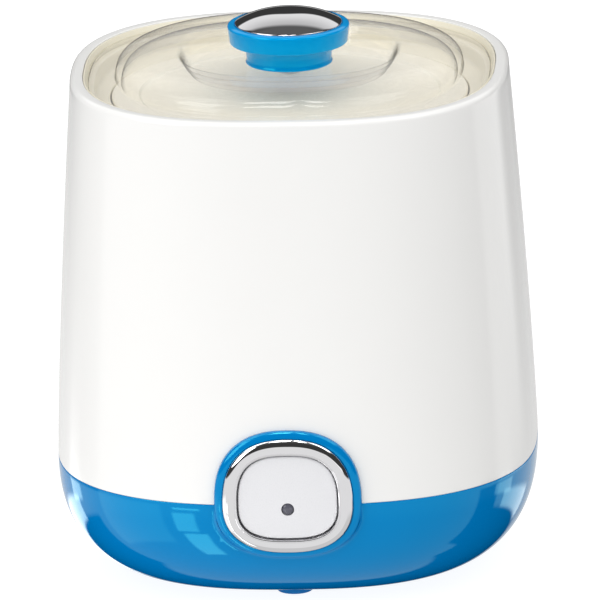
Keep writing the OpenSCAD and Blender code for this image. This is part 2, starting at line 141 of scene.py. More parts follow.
def shell_half(z):
    """Half width of the white shell at a height."""
    return HALF - SIDE_TAPER * max(0.0, (z - SEAM_Z) / (RIM_Z - SEAM_Z)) ** 1.27


def bowl(h0, h1, z0, z1, z):
    """Half width of a bowl that curves from h0 at z0 up to h1 at z1."""
    share = min(1.0, max(0.0, (z1 - z) / (z1 - z0)))
    return h0 + (h1 - h0) * math.sqrt(max(0.0, 1 - share ** BOWL_POWER))


def base_half(z):
    return bowl(FLAT_HALF, HALF, BASE_Z, SEAM_Z, z)


def body_y(x, z):
    """Depth of the body's front surface at a place on it."""
    half = shell_half(z) if z > SEAM_Z else base_half(z)
    return -half * max(0.0, 1 - abs(x / half) ** SQUARE) ** (1 / SQUARE)


def section(corners, steps=6, closed=True):
    """Cross-section from corners (half width, height, radius, squareness), with each corner rounded."""
    out = []
    last = len(corners) - 1
    for i, (h, z, radius, n) in enumerate(corners):
        if radius <= 0 or (not closed and i in (0, last)):
            out.append((h, z, n))
            continue
        p = np.array([h, z])
        before = np.array(corners[i - 1][:2]) - p
        after = np.array(corners[(i + 1) % len(corners)][:2]) - p
        u, v = before / np.linalg.norm(before), after / np.linalg.norm(after)
        turn = math.acos(max(-1, min(1, float(u @ v))))
        if turn > math.pi - 0.02:
            out.append((h, z, n))
            continue
        shorter = min(np.linalg.norm(before), np.linalg.norm(after))
        reach = min(radius / math.tan(turn / 2), 0.48 * shorter)
        r = reach * math.tan(turn / 2)
        mid = (u + v) / np.linalg.norm(u + v)
        centre = p + mid * r / math.sin(turn / 2)
        a, b = p + u * reach - centre, p + v * reach - centre
        arc = math.pi - turn
        for k in range(steps + 1):
            t = k / steps
            point = centre + (a * math.sin((1 - t) * arc) + b * math.sin(t * arc)) / math.sin(arc)
            out.append((point[0], point[1], n))
    return out


# ---------------------------------------------------------------- meshes

def skin(name, rings, closed=True):
    """Smooth mesh over rings of equal length. A closed one joins its last ring to its first;
    an open one is capped, or drawn to a point where a ring has no size."""
    rings = np.asarray(rings, float)
    m, k, _ = rings.shape
    bm = bmesh.new()
    rows = []
    for ring in rings:
        if not closed and np.ptp(ring, axis=0).max() < 1e-6:
            tip = bm.verts.new(ring[0])
            rows.append([tip] * k)
        else:
            rows.append([bm.verts.new(p) for p in ring])
    for i in range(m if closed else m - 1):
        a, b = rows[i], rows[(i + 1) % m]
        for j in range(k):
            corners = [a[j], a[(j + 1) % k], b[(j + 1) % k], b[j]]
            unique = list(dict.fromkeys(corners))
            if len(unique) > 2:
                bm.faces.new(unique)
    if not closed:
        for row in (rows[0], rows[-1]):
            if row[0] is not row[1]:
                bm.faces.new(row)
    bmesh.ops.recalc_face_normals(bm, faces=bm.faces)
    mesh = bpy.data.meshes.new(name)
    bm.to_mesh(mesh)
    bm.free()
    obj = bpy.data.objects.new(name, mesh)
    bpy.context.scene.collection.objects.link(obj)
    return obj


def upright(name, profile, count=192, closed=True):
    """Piece round the vertical axis from a cross-section; its squareness may change from ring to ring."""
    outlines = {}
    rings = []
    for h, z, n in profile:
        if n not in outlines:
            outlines[n] = superellipse(n, count)
        flat = outlines[n] * h
        rings.append(np.column_stack([flat, np.full(count, z)]))
    return skin(name, rings, closed)


def facing(name, profile, closed=True, count=160):
    """Piece on the front from (sizes, squareness, inset, y) rows."""
    rings = []
    for sizes, n, inset, y in profile:
        flat = even(egg(sizes, n, count, inset))
        rings.append(np.column_stack([flat[:, 0], np.full(count, y), flat[:, 1] + GROUP_Z]))
    return skin(name, rings, closed)


def rod(name, start, end, r, count=48):
    """Round post, or cutter for a hole, between two points."""
    start, end = Vector(start), Vector(end)
    along = (end - start).normalized()
    side = along.orthogonal().normalized()
    other = along.cross(side)
    spokes = [
        r * (math.cos(a) * side + math.sin(a) * other)
        for a in np.linspace(0, 2 * math.pi, count, endpoint=False)
    ]
    rings = [[point + spoke for spoke in spokes] for point in (start, end)]
    return skin(name, rings, closed=False)


def four_rods(name, z0, z1, r):
    """Upright rods where the base's screw posts stand."""
    sides = (-POST_XY, POST_XY)
    return [rod(name, (x, y, z0), (x, y, z1), r) for x in sides for y in sides]


def plug(name, sizes, n):
    """Cutter of one outline through the front of the body."""
    return facing(name, [(sizes, n, 0, CUT_FRONT), (sizes, n, 0, CUT_BACK)], closed=False)


def combine(obj, tools, operation):
    """Cuts away, joins or keeps what is common with each tool, which is used up."""
    for tool in tools:
        step = obj.modifiers.new(operation, "BOOLEAN")
        step.operation = operation
        step.solver = "MANIFOLD"
        step.object = tool
        ready = obj.evaluated_get(bpy.context.evaluated_depsgraph_get())
        mesh = bpy.data.meshes.new_from_object(ready)
        obj.modifiers.clear()
        obj.data = mesh
        bpy.data.objects.remove(tool)


def joined(name, pieces):
    """One object from several that don't touch."""
    bm = bmesh.new()
    for piece in pieces:
        bm.from_mesh(piece.data)
        bpy.data.objects.remove(piece)
    mesh = bpy.data.meshes.new(name)
    bm.to_mesh(mesh)
    bm.free()
    obj = bpy.data.objects.new(name, mesh)
    bpy.context.scene.collection.objects.link(obj)
    return obj


def coil(name, start, axis, length, radius, wire, turns, count=12):
    """Compression spring of even pitch; wire is the wire's radius."""
    axis = Vector(axis).normalized()
    side = axis.orthogonal().normalized()
    other = axis.cross(side)
    pitch = length / turns
    steps = turns * 32
    rings = []
    for i in range(steps + 1):
        t = i / steps
        a = 2 * math.pi * turns * t
        centre = Vector(start) + axis * (wire + (length - 2 * wire) * t)
        out = math.cos(a) * side + math.sin(a) * other
        ahead = (-math.sin(a) * side + math.cos(a) * other) * radius + axis * pitch / (2 * math.pi)
        up = out.cross(ahead.normalized())
        rings.append([
            centre + radius * out + wire * (math.cos(b) * out + math.sin(b) * up)
            for b in np.linspace(0, 2 * math.pi, count, endpoint=False)
        ])
    return skin(name, rings, closed=False)


def finish_piece(obj, body, nodes, material, angle=38):
    """Shading, material and place in the frame of one finished piece."""
    mesh = obj.data
    mesh.polygons.foreach_set("use_smooth", [True] * len(mesh.polygons))
    mesh.set_sharp_from_angle(angle=math.radians(angle))
    mesh.materials.clear()
    mesh.materials.append(material)
    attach(obj, body)
    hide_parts(*nodes)


# ---------------------------------------------------------------- shader nodes

class Graph:
    """Short spellings for the math nodes of one node tree."""

    def __init__(self, tree):
        self.tree = tree

    def feed(self, sockets, values):
        """Sets each socket to a number, or links it to another node's output."""
        for socket, value in zip(sockets, values):
            if isinstance(value, (int, float)):
                socket.default_value = value
            else:
                self.tree.links.new(value, socket)

    def math(self, operation, *values):
        node = self.tree.nodes.new("ShaderNodeMath")
        node.operation = operation
        self.feed(node.inputs, values)
        return node.outputs[0]

    def ramp(self, value, from_low, from_high, to_low, to_high):
        """Smooth step from one value to another."""
        node = self.tree.nodes.new("ShaderNodeMapRange")
        node.interpolation_type = "SMOOTHSTEP"
        node.inputs["From Min"].default_value = from_low
        node.inputs["From Max"].default_value = from_high
        node.inputs["To Min"].default_value = to_low
        node.inputs["To Max"].default_value = to_high
        self.tree.links.new(value, node.inputs["Value"])
        return node.outputs["Result"]

    def along(self, direction, axis):
        """How far a vector reaches along an axis."""
        node = self.tree.nodes.new("ShaderNodeVectorMath")
        node.operation = "DOT_PRODUCT"
        self.tree.links.new(direction, node.inputs[0])
        node.inputs[1].default_value = axis
        return node.outputs["Value"]

    def mix(self, factor, first, second):
        node = self.tree.nodes.new("ShaderNodeMix")
        self.feed([node.inputs[name] for name in ("Factor", "A", "B")], (factor, first, second))
        return node.outputs["Result"]

    def card(self, direction, height, azimuth, width, low_edge, high_edge, soft, power):
        """Soft-edged softbox seen from the object, all in degrees; azimuth 0 is the front, + is right."""
        turn = math.radians(azimuth)
        ahead = self.along(direction, (math.sin(turn), -math.cos(turn), 0))
        aside = self.along(direction, (math.cos(turn), math.sin(turn), 0))
        off = self.math("ABSOLUTE", self.math("ARCTAN2", aside, ahead))
        half = math.radians(width / 2)
        edge = math.radians(soft / 2)
        across = self.ramp(off, half - edge, half + edge, power, 0)
        middle = math.radians((low_edge + high_edge) / 2)
        reach = math.radians((high_edge - low_edge) / 2)
        rise = self.math("ABSOLUTE", self.math("SUBTRACT", height, middle))
        return self.math("MULTIPLY", across, self.ramp(rise, reach - edge, reach + edge, 1, 0))


# ---------------------------------------------------------------- materials

PASSED = 0.985                      # share of the light that a clear wall lets through


def new_material(name):
    """A material with its node tree and its main shader."""
    material = bpy.data.materials.new(name)
    material.use_nodes = True
    nodes = material.node_tree.nodes
    return material, material.node_tree, nodes["Principled BSDF"]


def noise(tree, scale, detail):
    """Noise over the object's own place, in metres."""
    place = tree.nodes.new("ShaderNodeTexCoord")
    node = tree.nodes.new("ShaderNodeTexNoise")
    node.inputs["Scale"].default_value = scale
    node.inputs["Detail"].default_value = detail
    tree.links.new(place.outputs["Object"], node.inputs["Vector"])
    return node


def spread(tree, source, low_value, high_value):
    """A noise output, stretched to run between two values."""
    node = tree.nodes.new("ShaderNodeMapRange")
    node.inputs["From Min"].default_value = 0.3
    node.inputs["From Max"].default_value = 0.7
    node.inputs["To Min"].default_value = low_value
    node.inputs["To Max"].default_value = high_value
    tree.links.new(source, node.inputs["Value"])
    return node.outputs["Result"]


def tinted(tree, source, colour, change):
    """A colour that drifts a little darker and lighter with a noise output."""
    node = tree.nodes.new("ShaderNodeMix")
    node.data_type = "RGBA"
    node.inputs["A"].default_value = (*[c * (1 - change) for c in colour], 1)
    node.inputs["B"].default_value = (*[min(1, c * (1 + change)) for c in colour], 1)
    tree.links.new(source, node.inputs["Factor"])
    return node.outputs["Result"]


def bump(tree, source, distance, under=None):
    """Normal of a noise output's relief, on top of another normal where one is given."""
    node = tree.nodes.new("ShaderNodeBump")
    node.inputs["Distance"].default_value = distance
    tree.links.new(source, node.inputs["Height"])
    if under is not None:
        tree.links.new(under, node.inputs["Normal"])
    return node.outputs["Normal"]


def plastic(
    name, colour, roughness, drift=0.02, wave=0.02 * MM, grain=0.002 * MM, specular=0.5, tint=(1, 1, 1),
):
    """Moulded plastic: slow waves from the mould, a fine grain, and a gloss that varies a little."""
    material, tree, shader = new_material(name)
    slow, fine = (noise(tree, scale, 2).outputs["Fac"] for scale in (45, 2600))
    tree.links.new(tinted(tree, slow, colour, drift), shader.inputs["Base Color"])
    gloss = spread(tree, fine, roughness * 0.85, roughness * 1.2)
    tree.links.new(gloss, shader.inputs["Roughness"])
    waves = bump(tree, slow, wave)
    tree.links.new(bump(tree, fine, grain, under=waves), shader.inputs["Normal"])
    shader.inputs["Specular IOR Level"].default_value = specular
    shader.inputs["Specular Tint"].default_value = (*tint, 1)
    return material


def metal(name, colour, roughness, brushed=0.0, scratch=0.0015 * MM):
    """Metal: bright or brushed, with fine scratches and a little smear in its gloss."""
    material, tree, shader = new_material(name)
    shader.inputs["Metallic"].default_value = 1.0
    smear = noise(tree, 60, 4).outputs["Fac"]
    tree.links.new(tinted(tree, smear, colour, 0.03), shader.inputs["Base Color"])
    tree.links.new(spread(tree, smear, roughness * 0.7, roughness * 1.3), shader.inputs["Roughness"])
    fine = noise(tree, 1800, 3)
    if brushed:
        stretch = tree.nodes.new("ShaderNodeMapping")
        stretch.inputs["Scale"].default_value = (1, 1 / (1 + brushed), 1)
        tree.links.new(fine.inputs["Vector"].links[0].from_socket, stretch.inputs["Vector"])
        tree.links.new(stretch.outputs["Vector"], fine.inputs["Vector"])
    tree.links.new(bump(tree, fine.outputs["Fac"], scratch), shader.inputs["Normal"])
    return material


def clear(name, colour, roughness):
    """Clear plastic that light shines through: glass to the eye, and nearly open to shadow rays."""
    material, tree, shader = new_material(name)
    shader.inputs["Base Color"].default_value = (*colour, 1)
    shader.inputs["Transmission Weight"].default_value = 1.0
    shader.inputs["IOR"].default_value = 1.49
    smear = noise(tree, 90, 4)
    gloss = spread(tree, smear.outputs["Fac"], roughness, roughness + 0.02)
    tree.links.new(gloss, shader.inputs["Roughness"])
    flow = noise(tree, 35, 1)
    tree.links.new(bump(tree, flow.outputs["Fac"], 0.03 * MM), shader.inputs["Normal"])
    lamp = tree.nodes.new("ShaderNodeBsdfTransparent")
    lamp.inputs["Color"].default_value = (*[c * PASSED for c in colour], 1)
    path = tree.nodes.new("ShaderNodeLightPath")
    mix = tree.nodes.new("ShaderNodeMixShader")
    tree.links.new(path.outputs["Is Shadow Ray"], mix.inputs["Fac"])
    tree.links.new(shader.outputs["BSDF"], mix.inputs[1])
    tree.links.new(lamp.outputs["BSDF"], mix.inputs[2])
    tree.links.new(mix.outputs["Shader"], tree.nodes["Material Output"].inputs["Surface"])
    return material


def thin_clear(name, colour, edge):
    """Thin clear plastic without refraction: open straight on, and toward its edges, where it is seen
    at a slant, darker and more like a mirror. Light passes it on its way to what lies under it."""
    material, tree, shader = new_material(name)
    shader.inputs["Metallic"].default_value = 0.35
    shader.inputs["Base Color"].default_value = (1, 1, 1, 1)
    smear = noise(tree, 90, 4)
    tree.links.new(spread(tree, smear.outputs["Fac"], 0.0, 0.04), shader.inputs["Roughness"])
    flow = noise(tree, 35, 1)
    normal = bump(tree, flow.outputs["Fac"], 0.12 * MM)
    tree.links.new(normal, shader.inputs["Normal"])
    graph = Graph(tree)
    weight = tree.nodes.new("ShaderNodeLayerWeight")
    tree.links.new(normal, weight.inputs["Normal"])
    slant = weight.outputs["Facing"]
    shade = tree.nodes.new("ShaderNodeMix")
    shade.data_type = "RGBA"
    shade.inputs["A"].default_value = (*colour, 1)
    shade.inputs["B"].default_value = (*edge, 1)
    tree.links.new(graph.ramp(slant, 0.73, 0.98, 0, 1), shade.inputs["Factor"])
    path = tree.nodes.new("ShaderNodeLightPath")
    lamp = graph.math("MAXIMUM", path.outputs["Is Shadow Ray"], path.outputs["Is Diffuse Ray"])
    tint = tree.nodes.new("ShaderNodeMix")
    tint.data_type = "RGBA"
    tint.inputs["B"].default_value = (PASSED, PASSED, PASSED, 1)
    tree.links.new(lamp, tint.inputs["Factor"])
    tree.links.new(shade.outputs["Result"], tint.inputs["A"])
    through = tree.nodes.new("ShaderNodeBsdfTransparent")
    tree.links.new(tint.outputs["Result"], through.inputs["Color"])
    mirror = graph.ramp(slant, 0.55, 0.95, 0.06, 0.27)
    seen = graph.math("MULTIPLY", mirror, graph.math("SUBTRACT", 1.0, lamp))
    mix = tree.nodes.new("ShaderNodeMixShader")
    tree.links.new(seen, mix.inputs["Fac"])
    tree.links.new(through.outputs["BSDF"], mix.inputs[1])
    tree.links.new(shader.outputs["BSDF"], mix.inputs[2])
    tree.links.new(mix.outputs["Shader"], tree.nodes["Material Output"].inputs["Surface"])
    return material


def rubber(name, colour):
    return plastic(name, colour, 0.6, drift=0.08, wave=0.04 * MM, grain=0.02 * MM, specular=0.3)


def make_materials():
    """One material for each slot of the record."""
    return {
        "white_shell": plastic("white_shell", (0.87, 0.865, 0.85), 0.16, drift=0.006, wave=0.01 * MM),
        "blue_base": plastic("blue_base", (0.0, 0.195, 0.53), 0.05, specular=1.0, tint=(0.12, 1, 1)),
        "cream_liner": plastic("cream_liner", (0.82, 0.77, 0.63), 0.3, drift=0.015),
        "blue_foot": rubber("blue_foot", (0.0, 0.2, 0.55)),
        "screw_steel": metal("screw_steel", (0.62, 0.63, 0.65), 0.3, brushed=3),
        "chrome_trim": metal("chrome_trim", (0.93, 0.925, 0.94), 0.03, scratch=0.0004 * MM),
        "gland_rubber": rubber("gland_rubber", (0.02, 0.02, 0.022)),
        "red_silicone": rubber("red_silicone", (0.3, 0.03, 0.02)),
        "plate_aluminium": metal(
            "plate_aluminium", (0.8, 0.81, 0.82), 0.28, brushed=12, scratch=0.006 * MM,
        ),
        "heater_film": plastic("heater_film", (0.6, 0.26, 0.04), 0.25, drift=0.15),
        "mica": plastic("mica", (0.5, 0.42, 0.26), 0.35, drift=0.25, grain=0.01 * MM),
        "sensor_ceramic": plastic("sensor_ceramic", (0.72, 0.7, 0.64), 0.45, drift=0.06),
        "board_green": plastic("board_green", (0.01, 0.12, 0.045), 0.3, drift=0.2, grain=0.01 * MM),
        "relay_blue": plastic("relay_blue", (0.02, 0.1, 0.4), 0.4, drift=0.05),
        "capacitor_sleeve": plastic("capacitor_sleeve", (0.02, 0.02, 0.022), 0.2, drift=0.1),
        "chip_black": plastic("chip_black", (0.02, 0.02, 0.02), 0.55, drift=0.1, grain=0.01 * MM),
        "terminal_white": plastic("terminal_white", (0.75, 0.74, 0.68), 0.4, drift=0.03),
        "lead_red": plastic("lead_red", (0.36, 0.02, 0.02), 0.4, drift=0.08),
        "lead_yellow": plastic("lead_yellow", (0.66, 0.45, 0.04), 0.4, drift=0.08),
        "led_clear": clear("led_clear", (0.75, 0.95, 0.78), 0.02),
        "spring_steel": metal("spring_steel", (0.6, 0.6, 0.62), 0.2),
        "button_silver": plastic("button_silver", (0.76, 0.76, 0.78), 0.28, drift=0.01, grain=0.004 * MM),
        "lens_grey": plastic("lens_grey", (0.1, 0.1, 0.125), 0.12, drift=0.1, specular=0.6),
        "pipe_clear": clear("pipe_clear", (0.93, 0.95, 0.97), 0.02),
        "switch_white": plastic("switch_white", (0.78, 0.78, 0.78), 0.4, drift=0.03),
        "jar_milky": plastic("jar_milky", (0.8, 0.77, 0.68), 0.3, drift=0.02),
        "cap_cream": plastic("cap_cream", (0.92, 0.87, 0.74), 0.25, drift=0.015),
        "seal_clear": rubber("seal_clear", (0.6, 0.6, 0.58)),
        "lid_clear": thin_clear("lid_clear", (0.995, 0.993, 0.988), (0.2, 0.185, 0.16)),
        "knob_blue": plastic("knob_blue", (0.0, 0.3, 0.7), 0.06, specular=0.8, tint=(0.05, 1, 1)),
    }


# ---------------------------------------------------------------- casing

def make_outer_shell(material):
    """White shell: curved wall, rolled rim, ledge for the liner, and a notch for the surround."""
    rim_round = 3.2 * MM
    ledge = RIM_IN - 1.4 * MM
    under_z = SHELF_Z - 8 * MM
    waist_z = 120 * MM
    wall = [
        (shell_half(z), z, 0, SQUARE)
        for z in np.linspace(SEAM_Z + 2 * MM, RIM_Z - rim_round - 1 * MM, 34)
    ]
    corners = [
        (HALF - SHELL_T, SEAM_Z, 0.3 * MM, SQUARE),
        (HALF, SEAM_Z, 0.45 * MM, SQUARE),
        *wall,
        (shell_half(RIM_Z), RIM_Z, rim_round, SQUARE),
        (RIM_IN, RIM_Z, 0.4 * MM, SQUARE),
        (RIM_IN, SHELF_Z, 0, SQUARE),
        (ledge, SHELF_Z, 0, SQUARE),
        (ledge, SHELF_Z - 2.5 * MM, 0, SQUARE),
        (shell_half(under_z) - SHELL_T, under_z, 3 * MM, SQUARE),
        (shell_half(waist_z) - SHELL_T, waist_z, 0, SQUARE),
    ]
    obj = upright("outer_shell_skin", section(corners, 8), count=320)
    notch = plug("notch", tuple(s + 0.03 * MM for s in SURROUND), OUTER_N)
    combine(obj, [notch], "DIFFERENCE")
    finish_piece(obj, "root", ["outer_shell"], material)


def surround_rings():
    """The raised surround: it flows out of the bowl below the seam and stands free above it."""
    count = 160
    steps = 10
    round_in, round_back = 3.6 * MM, 2.2 * MM       # size of the front edge's rounding
    spread_out, fade = 2.2 * MM, 6 * MM             # size of the fillet to the bowl, and where it grows
    outline = even(egg(SURROUND, OUTER_N, count))
    ahead = np.roll(outline, -1, 0) - np.roll(outline, 1, 0)
    out = np.stack([ahead[:, 1], -ahead[:, 0]], 1)
    out /= np.linalg.norm(out, axis=1)[:, None]
    height = outline[:, 1] + GROUP_Z
    flow = spread_out * np.clip((SEAM_Z - 0.5 * MM - height) / fade, 0, 1)

    def ring(offsets, depth):
        flat = outline + out * offsets[:, None]
        y = depth(flat) if callable(depth) else np.full(count, depth)
        return np.column_stack([flat[:, 0], y, flat[:, 1] + GROUP_Z])

    def on_body(flat, lift):
        return np.array([body_y(x, z + GROUP_Z) for x, z in flat]) - lift

    rings = [ring(flow, SURROUND_BACK)]
    quarter = [math.pi / 2 * k / steps for k in range(steps + 1)]
    for a in quarter:
        lift = flow * (1 - math.cos(a)) - 0.04 * MM * (a == 0)
        rings.append(ring(flow * (1 - math.sin(a)), lambda flat, lift=lift: on_body(flat, lift)))
    for a in quarter:
        inward = np.full(count, -round_in * (1 - math.cos(a)))
        rings.append(ring(inward, SURROUND_Y + round_back * (1 - math.sin(a))))
    return rings


def make_base_shell(material):
    """Blue bowl with its lip, screw posts and cord inlet, in one piece with the button's surround."""
    floor_z = BASE_Z + 4.4 * MM
    floor_half = 66 * MM
    ledge_in = 49 * MM
    lip_out = HALF - SHELL_T - 0.4 * MM
    lip_in = lip_out - 1.8 * MM
    lip_top = SEAM_Z + 5 * MM
    outside = [
        (base_half(z), z, 0, SQUARE)
        for z in BASE_Z + (SEAM_Z - BASE_Z) * np.linspace(0.01, 0.97, 40) ** 2
    ]
    inside = [
        (bowl(floor_half, lip_in, floor_z, SEAM_Z, z), z, 0, SQUARE)
        for z in floor_z + (SEAM_Z - floor_z) * np.linspace(1, 0, 14) ** 2
    ]
    corners = [
        (FLAT_HALF, floor_z - 2 * MM, 0, SQUARE),
        (FLAT_HALF, BASE_Z, 0.5 * MM, SQUARE),
        *outside,
        (HALF, SEAM_Z, 0.3 * MM, SQUARE),
        (lip_out, SEAM_Z, 0, SQUARE),
        (lip_out, lip_top, 0.3 * MM, SQUARE),
        (lip_in, lip_top, 0.3 * MM, SQUARE),
        *inside,
        (ledge_in, floor_z, 0.4 * MM, SQUARE),
        (ledge_in, floor_z - 2 * MM, 0, SQUARE),
    ]
    obj = upright("base_shell_skin", section(corners, 6), count=320)
    pad = rod("pad", (0, 80 * MM, INLET_Z), (0, PAD_Y, INLET_Z), 10 * MM)
    inlet = rod("inlet", (0, 70 * MM, INLET_Z), (0, 120 * MM, INLET_Z), 6.05 * MM)
    posts = four_rods("post", floor_z - 1 * MM, POST_TOP, POST_R)
    holes = four_rods("hole", 0, POST_TOP + 1 * MM, 2 * MM)
    window = plug("window", tuple(s - 1.5 * MM for s in SURROUND), OUTER_N)
    combine(obj, [pad, *posts], "UNION")
    combine(obj, [window, *holes, inlet], "DIFFERENCE")

    surround = skin("surround", surround_rings(), closed=False)
    pocket = tuple(s + 0.1 * MM for s in BEZEL)
    opening = tuple(s + 1.7 * MM for s in BUTTON)
    chamfer = 0.3 * MM
    cutter = facing("cutter", [
        (opening, INNER_N, 0, CUT_BACK), (opening, INNER_N, 0, POCKET_Y),
        (pocket, OUTER_N, 0, POCKET_Y), (pocket, OUTER_N, 0, SURROUND_Y + chamfer),
        (pocket, OUTER_N, -chamfer, SURROUND_Y), (pocket, OUTER_N, -chamfer, CUT_FRONT),
    ], closed=False)
    combine(surround, [cutter], "DIFFERENCE")
    board_y = low("switch_board").y
    screw_x = 25.2 * MM
    pegs = []
    pilots = []
    for x in (-screw_x, screw_x):
        pegs.append(rod("peg", (x, SURROUND_BACK - 1 * MM, GROUP_Z), (x, board_y, GROUP_Z), 2.6 * MM))
        pilots.append(rod("pilot", (x, -87.4 * MM, GROUP_Z), (x, CUT_BACK, GROUP_Z), 1.15 * MM))
    combine(surround, pegs, "UNION")
    combine(surround, pilots, "DIFFERENCE")
    combine(obj, [surround], "UNION")
    finish_piece(obj, "root", ["base_shell"], material, angle=32)


def make_well_liner(material):
    """Round well under a rounded-square tray, seat for the lid and collar inside the shell's rim."""
    seat_out = RIM_IN - 1.8 * MM
    seat_in = seat_out - 2.6 * MM
    collar_out = RIM_IN - 0.2 * MM
    collar_top = RIM_Z - 0.3 * MM
    well_out = WELL_R + 2.2 * MM
    floor_in = 50 * MM
    floor_low = WELL_FLOOR - 2 * MM
    corners = [
        (seat_in + 0.8 * MM, TRAY_Z - 2 * MM, 0.5 * MM, SQUARE),
        (RIM_IN - 1.6 * MM, SHELF_Z, 0, SQUARE),
        (collar_out, SHELF_Z, 0, SQUARE),
        (collar_out, collar_top, 0.3 * MM, SQUARE),
        (collar_out - 0.6 * MM, collar_top, 0.3 * MM, SQUARE),
        (seat_out, RIM_Z - 2 * MM, 0.4 * MM, SQUARE),
        (seat_out, SEAT_Z, 0, SQUARE),
        (seat_in, SEAT_Z, 0.5 * MM, SQUARE),
        (seat_in - 0.6 * MM, TRAY_Z, 1.5 * MM, SQUARE),
        (WELL_R, TRAY_Z, 0.8 * MM, 2),
        (WELL_R, WELL_FLOOR, 1.6 * MM, 2),
        (floor_in, WELL_FLOOR, 0, 2),
        (floor_in, floor_low, 0, 2),
        (well_out, floor_low, 3 * MM, 2),
        (well_out, TRAY_Z - 2 * MM, 0, 2),
    ]
    obj = upright("well_liner_skin", section(corners, 6), count=256)
    bosses = four_rods("boss", POST_TOP + 0.2 * MM, floor_low + 0.5 * MM, POST_R)
    pilots = four_rods("pilot", POST_TOP, POST_TOP + 5.5 * MM, 1.55 * MM)
    combine(obj, bosses, "UNION")
    combine(obj, pilots, "DIFFERENCE")
    finish_piece(obj, "root", ["well_liner"], material)


def make_feet(material):
    """Four round feet, front, back, left and right, with pegs that go up into the base plate."""
    r, peg = 7.2 * MM, 1.95 * MM
    dish = 0.3 * MM
    peg_top = BASE_Z + 2.2 * MM
    corners = [
        (0, dish, 0, 2),
        (r - 2.2 * MM, dish, 0, 2),
        (r - 1.6 * MM, 0, 0.3 * MM, 2),
        (r, 0, 0.9 * MM, 2),
        (r, BASE_Z, 0.2 * MM, 2),
        (peg, BASE_Z, 0, 2),
        (peg, peg_top, 0.2 * MM, 2),
        (0, peg_top, 0, 2),
    ]
    profile = section(corners, 6, closed=False)
    reach = high("feet").x - r
    pieces = []
    for k in range(4):
        foot = upright("foot", profile, count=64, closed=False)
        a = math.pi / 2 * k
        foot.data.transform(Matrix.Translation((reach * math.cos(a), reach * math.sin(a), 0)))
        pieces.append(foot)
    finish_piece(joined("feet_skin", pieces), "root", ["feet"], material)


def make_cord_gland(material):
    start = low("cord_gland").y
    face = PAD_Y - start
    tip = BACK_Y - start
    hole, neck, flange = 3.6 * MM, 6 * MM, 9 * MM
    corners = [
        (hole, 0, 0.4 * MM, 2),
        (neck, 0, 0.4 * MM, 2),
        (neck, face, 0, 2),
        (flange, face, 0.4 * MM, 2),
        (flange, face + 1.6 * MM, 0.8 * MM, 2),
        (neck + 0.4 * MM, face + 2.2 * MM, 0.8 * MM, 2),
        (neck, tip, 0.9 * MM, 2),
        (hole, tip, 0.7 * MM, 2),
    ]
    obj = upright("cord_gland_skin", section(corners, 6), count=96)
    obj.data.transform(Matrix.Translation((0, start, INLET_Z)) @ Matrix.Rotation(-math.pi / 2, 4, "X"))
    finish_piece(obj, "root", ["cord_gland"], material)


# ---------------------------------------------------------------- button

def make_bezel(material):
    """Ring with a rounded slope outside, a flat band, a fine groove and a narrow lip.
    Slope and band are listed in shares of the ring's width and mm behind its front."""
    back = high("bezel_ring").y
    slope = [
        (0, 1.75), (0.012, 1.4), (0.045, 1.08), (0.1, 0.78),
        (0.18, 0.48), (0.26, 0.25), (0.34, 0.09), (0.4, 0.01),
    ]
    band = [
        (0.44, 0), (0.83, 0), (0.846, 0.14), (0.862, 0.14),
        (0.875, 0.02), (0.94, 0.02), (0.975, 0.1), (1, 0.4),
    ]
    rows = [(0, back)] + [(share, FRONT_Y + depth * MM) for share, depth in slope + band] + [(1, back)]
    rings = []
    for share, y in rows:
        sizes = tuple(o + (i + BUTTON_PLAY - o) * share for o, i in zip(BEZEL, BUTTON))
        rings.append((sizes, OUTER_N + (INNER_N - OUTER_N) * share, 0, y))
    obj = facing("bezel_ring_skin", rings, count=320)
    finish_piece(obj, "root", ["bezel_ring"], material, angle=30)


def make_button_face(material):
    """Hollow push button: flange behind, softened edge, slightly domed front and a hole for the lens."""
    back = high("button_face").y
    wall, crown, edge = 2.2 * MM, 0.25 * MM, 0.5 * MM
    flange, flange_y = 1.2 * MM, back - 1.6 * MM
    inner = tuple(s - wall for s in BUTTON)
    rows = [(tuple(s * share for s in inner), INNER_N, 0, BUTTON_Y + wall) for share in (0, 0.5, 1)]
    rows += [(BUTTON, INNER_N, wall, back), (BUTTON, INNER_N, -flange, back)]
    rows += [(BUTTON, INNER_N, -flange, flange_y), (BUTTON, INNER_N, 0, flange_y)]
    steps = 6
    for k in range(steps + 1):
        a = math.pi / 2 * k / steps
        y = BUTTON_Y + crown + edge * (1 - math.sin(a))
        rows.append((BUTTON, INNER_N, edge * (1 - math.cos(a)), y))
    for share in np.linspace(0.95, 0, 16):
        rows.append((tuple(s * share for s in BUTTON), INNER_N, 0, BUTTON_Y + crown * share ** 2))
    obj = facing("button_face_skin", rows, closed=False, count=192)
    z = (low("indicator_lens").z + high("indicator_lens").z) / 2
    hole = rod("lens_hole", (0, CUT_FRONT, z), (0, CUT_BACK, z), 2.55 * MM, count=64)
    combine(obj, [hole], "DIFFERENCE")
    finish_piece(obj, "button", ["button_face"], material)


